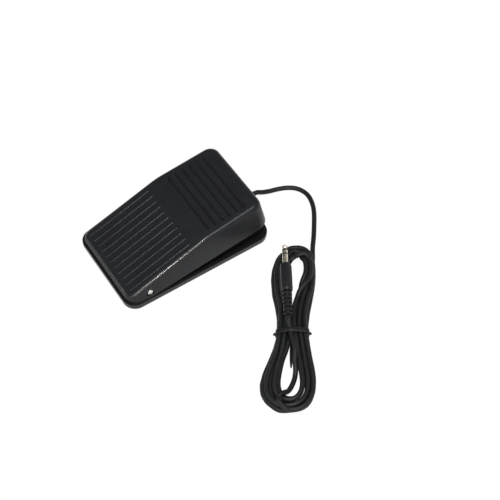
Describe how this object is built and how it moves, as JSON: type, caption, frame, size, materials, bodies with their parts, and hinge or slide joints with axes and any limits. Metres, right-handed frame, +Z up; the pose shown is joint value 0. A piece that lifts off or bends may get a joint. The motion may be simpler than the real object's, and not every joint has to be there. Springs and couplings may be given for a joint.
{
  "type": "foot switch",
  "caption": "Sprung wedge foot switch: hinged ribbed treadle on a low tray, micro switch inside, thin cord in a tied hank ending in a moulded jack plug.",
  "frame": {"origin": "centre of the pedal's footprint on the floor, under the rubber feet, cord parts left out", "axes": "+X across the foot, +Y from the toe to the high end where the cord leaves, +Z up"},
  "size_m": [0.172, 0.138, 0.033],
  "materials": {
    "treadle_black": "fine satin mould texture",
    "tray_black": "satin moulded plastic",
    "cover_black": "matte sheet moulding",
    "foot_rubber": "matte rubber",
    "screw_steel": "bright zinc plating",
    "pin_steel": "turned bright steel",
    "spring_steel": "drawn spring wire",
    "board_green": "solder-masked laminate",
    "switch_black": "satin moulded plastic",
    "switch_red": "satin moulded plastic",
    "plunger_white": "smooth nylon",
    "lever_steel": "rolled stainless strip",
    "contact_brass": "tinned brass",
    "solder_grey": "bright solder",
    "lead_red": "extruded insulation",
    "lead_white": "extruded insulation",
    "lead_black": "extruded insulation",
    "cord_black": "extruded soft jacket with a dull sheen",
    "relief_black": "moulded soft plastic",
    "tie_black": "coated wire tie",
    "grip_black": "smooth moulded grip",
    "jack_metal": "plated, slightly warm",
    "insulator_black": "moulded insulating ring"
  },
  "bodies": {
    "base": {"base_tray": "tray_black", "bottom_cover": "cover_black", "foot_pads": "foot_rubber", "cover_screws": "screw_steel", "return_spring": "spring_steel", "circuit_board": "board_green", "board_screws": "screw_steel", "switch_case": "switch_black", "switch_cover": "switch_red", "lever_axle": "screw_steel", "terminal_common": "contact_brass", "terminal_closed": "contact_brass", "terminal_open": "contact_brass", "solder_joints": "solder_grey", "lead_a": "lead_red", "lead_b": "lead_white", "lead_c": "lead_black", "cord_inside": "cord_black", "cord_clamp": "tray_black", "clamp_screws": "screw_steel", "strain_relief": "relief_black", "cord_lead": "cord_black", "cord_hank": "cord_black", "cord_tail": "cord_black", "hank_tie": "tie_black", "plug_relief": "relief_black", "plug_grip": "grip_black", "jack_sleeve": "jack_metal", "jack_ring": "jack_metal", "jack_tip": "jack_metal", "jack_insulators": "insulator_black"},
    "treadle": {"treadle": "treadle_black", "hinge_pin": "pin_steel"},
    "switch_lever": {"switch_lever": "lever_steel"},
    "switch_plunger": {"switch_plunger": "plunger_white"}
  },
  "joints": [
    {"name": "treadle_hinge", "type": "hinge", "parent": "base", "child": "treadle", "pos_m": [0, -0.0345, 0.0081], "axis": [-1, 0, 0], "range_deg": [0, 7.1], "stiffness_Nm_per_rad": 3, "springref_deg": -5.73, "deforming": ["return_spring"]},
    {"name": "lever_hinge", "type": "hinge", "parent": "base", "child": "switch_lever", "pos_m": [0, -0.004, 0.0136], "axis": [1, 0, 0], "range_deg": [0, 11.1]},
    {"name": "plunger_slide", "type": "slide", "parent": "base", "child": "switch_plunger", "axis": [0, 0, -1], "range_m": [0, 0.00085]}
  ],
  "couplings": [
    {"joint": "lever_hinge", "follows": "treadle_hinge", "ratio": 1.5417},
    {"joint": "plunger_slide", "follows": "treadle_hinge", "m_per_rad": 0.0065}
  ]
}
